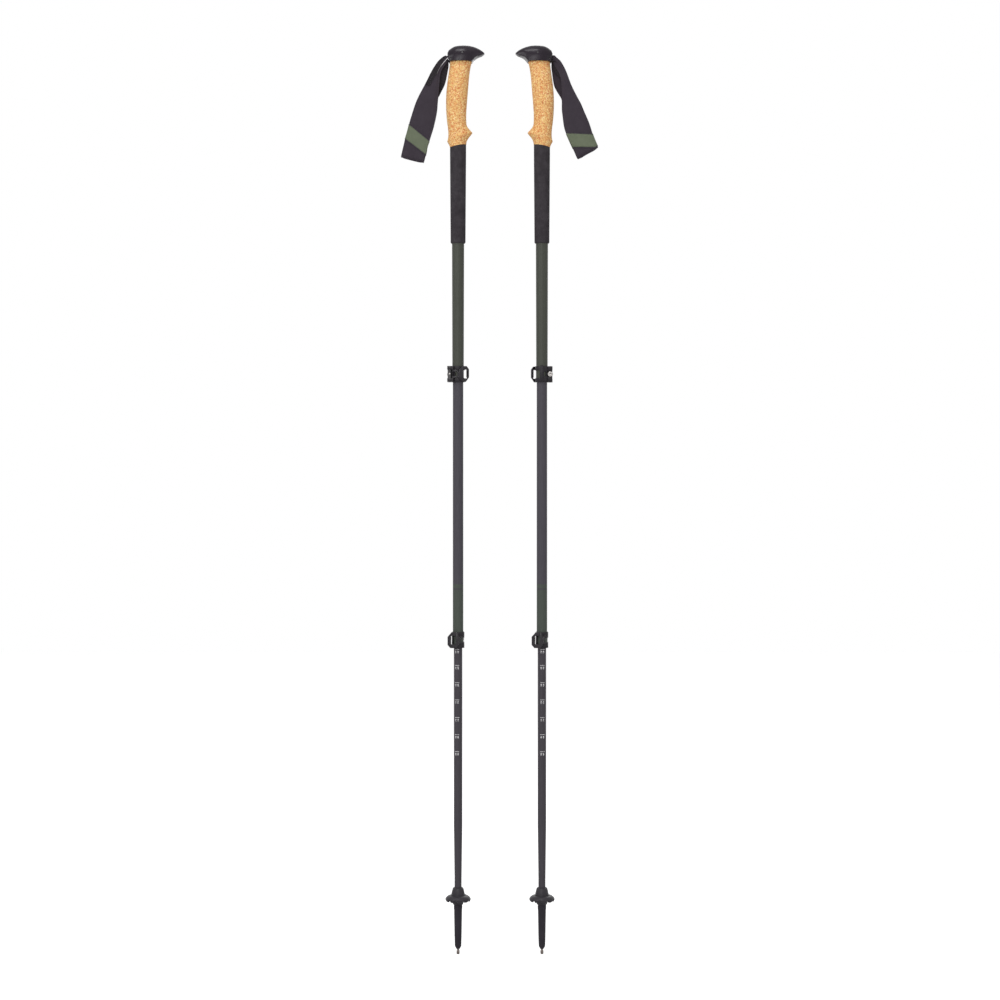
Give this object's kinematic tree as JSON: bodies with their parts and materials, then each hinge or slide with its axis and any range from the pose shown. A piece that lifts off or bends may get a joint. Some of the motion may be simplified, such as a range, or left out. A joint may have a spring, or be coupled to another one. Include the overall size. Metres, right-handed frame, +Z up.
{
  "type": "trekking pole pair",
  "caption": "Telescopic trekking poles with cork grips, foam sleeves, padded wrist straps, outside lever locks, small baskets and metal points.",
  "frame": {"origin": "midway between the two poles, at the level of their points", "axes": "+Z up along the poles, +X towards the right-hand pole, -Y towards the viewer"},
  "size_m": [0.285, 0.0362, 1.2999],
  "materials": {
    "head_plastic": "near-black moulded plastic, satin, soft highlight",
    "plug_nylon": "black moulded nylon, hidden",
    "bush_nylon": "natural moulded nylon, hidden",
    "steel": "bright plated steel",
    "cork": "pressed cork granulate with reddish-brown specks, matt",
    "foam": "closed-cell foam, charcoal, matt",
    "upper_carbon": "carbon-fibre tube, olive green, satin lacquer",
    "middle_carbon": "carbon-fibre tube, dark grey, satin lacquer, olive band at the foot",
    "lower_carbon": "carbon-fibre tube, dark grey, satin lacquer, length scale",
    "lock_plastic": "near-black moulded nylon, satin",
    "lever_alloy": "near-black anodised forged aluminium, satin with bright edges",
    "strap_webbing": "black-violet woven webbing with a padded lining",
    "strap_band": "olive-green woven band",
    "tip_plastic": "dark charcoal moulded plastic",
    "basket_plastic": "dark charcoal moulded plastic, slightly soft",
    "carbide": "brownish-grey hard metal"
  },
  "bodies": {
    "upper_sections": {"left_upper_shaft": "upper_carbon", "left_cork_grip": "cork", "left_foam_sleeve": "foam", "left_grip_head": "head_plastic", "left_head_plug": "plug_nylon", "left_head_pin": "steel", "left_strap_pin": "steel", "left_strap_wedge": "plug_nylon", "left_upper_collar": "lock_plastic", "left_upper_barrel": "steel", "left_upper_screw": "steel", "right_upper_shaft": "upper_carbon", "right_cork_grip": "cork", "right_foam_sleeve": "foam", "right_grip_head": "head_plastic", "right_head_plug": "plug_nylon", "right_head_pin": "steel", "right_strap_pin": "steel", "right_strap_wedge": "plug_nylon", "right_upper_collar": "lock_plastic", "right_upper_barrel": "steel", "right_upper_screw": "steel"},
    "left_strap": {"left_strap_web": "strap_webbing", "left_strap_pad": "strap_webbing", "left_strap_band": "strap_band"},
    "left_upper_lever": {"left_upper_lever": "lever_alloy"},
    "left_middle_guide": {"left_middle_bush": "bush_nylon"},
    "left_middle_section": {"left_middle_shaft": "middle_carbon", "left_lower_collar": "lock_plastic", "left_lower_barrel": "steel", "left_lower_screw": "steel"},
    "left_lower_lever": {"left_lower_lever": "lever_alloy"},
    "left_lower_guide": {"left_lower_bush": "bush_nylon"},
    "left_lower_section": {"left_lower_shaft": "lower_carbon", "left_tip_body": "tip_plastic", "left_tip_point": "carbide", "left_basket": "basket_plastic"},
    "right_strap": {"right_strap_web": "strap_webbing", "right_strap_pad": "strap_webbing", "right_strap_band": "strap_band"},
    "right_upper_lever": {"right_upper_lever": "lever_alloy"},
    "right_middle_guide": {"right_middle_bush": "bush_nylon"},
    "right_middle_section": {"right_middle_shaft": "middle_carbon", "right_lower_collar": "lock_plastic", "right_lower_barrel": "steel", "right_lower_screw": "steel"},
    "right_lower_lever": {"right_lower_lever": "lever_alloy"},
    "right_lower_guide": {"right_lower_bush": "bush_nylon"},
    "right_lower_section": {"right_lower_shaft": "lower_carbon", "right_tip_body": "tip_plastic", "right_tip_point": "carbide", "right_basket": "basket_plastic"}
  },
  "joints": [
    {"name": "left_strap_swing", "type": "hinge", "parent": "upper_sections", "child": "left_strap", "pos_m": [-0.0706, 0, 1.2796], "axis": [0, 1, 0], "range_deg": [0, 60]},
    {"name": "left_upper_lock_lever", "type": "hinge", "parent": "upper_sections", "child": "left_upper_lever", "pos_m": [-0.0718, -0.0081, 0.82955], "axis": [0, 0, -1], "range_deg": [0, 110]},
    {"name": "left_middle_slide", "type": "slide", "parent": "upper_sections", "child": "left_middle_guide", "axis": [0, 0, 1], "range_m": [0, 0.335]},
    {"name": "left_middle_swivel", "type": "hinge", "parent": "left_middle_guide", "child": "left_middle_section", "pos_m": [-0.06, 0, 0.9], "axis": [0, 0, 1], "continuous": true},
    {"name": "left_lower_lock_lever", "type": "hinge", "parent": "left_middle_section", "child": "left_lower_lever", "pos_m": [-0.05504, 0.01277, 0.44955], "axis": [0, 0, 1], "range_deg": [0, 110]},
    {"name": "left_lower_slide", "type": "slide", "parent": "left_middle_section", "child": "left_lower_guide", "axis": [0, 0, 1], "range_m": [0, 0.335]},
    {"name": "left_lower_swivel", "type": "hinge", "parent": "left_lower_guide", "child": "left_lower_section", "pos_m": [-0.06, 0, 0.52], "axis": [0, 0, 1], "continuous": true},
    {"name": "right_strap_swing", "type": "hinge", "parent": "upper_sections", "child": "right_strap", "pos_m": [0.0706, 0, 1.2796], "axis": [0, -1, 0], "range_deg": [0, 60]},
    {"name": "right_upper_lock_lever", "type": "hinge", "parent": "upper_sections", "child": "right_upper_lever", "pos_m": [0.0718, 0.0081, 0.82955], "axis": [0, 0, -1], "range_deg": [0, 110]},
    {"name": "right_middle_slide", "type": "slide", "parent": "upper_sections", "child": "right_middle_guide", "axis": [0, 0, 1], "range_m": [0, 0.335]},
    {"name": "right_middle_swivel", "type": "hinge", "parent": "right_middle_guide", "child": "right_middle_section", "pos_m": [0.06, 0, 0.9], "axis": [0, 0, 1], "continuous": true},
    {"name": "right_lower_lock_lever", "type": "hinge", "parent": "right_middle_section", "child": "right_lower_lever", "pos_m": [0.06496, 0.01277, 0.44955], "axis": [0, 0, 1], "range_deg": [0, 110]},
    {"name": "right_lower_slide", "type": "slide", "parent": "right_middle_section", "child": "right_lower_guide", "axis": [0, 0, 1], "range_m": [0, 0.335]},
    {"name": "right_lower_swivel", "type": "hinge", "parent": "right_lower_guide", "child": "right_lower_section", "pos_m": [0.06, 0, 0.52], "axis": [0, 0, 1], "continuous": true}
  ]
}
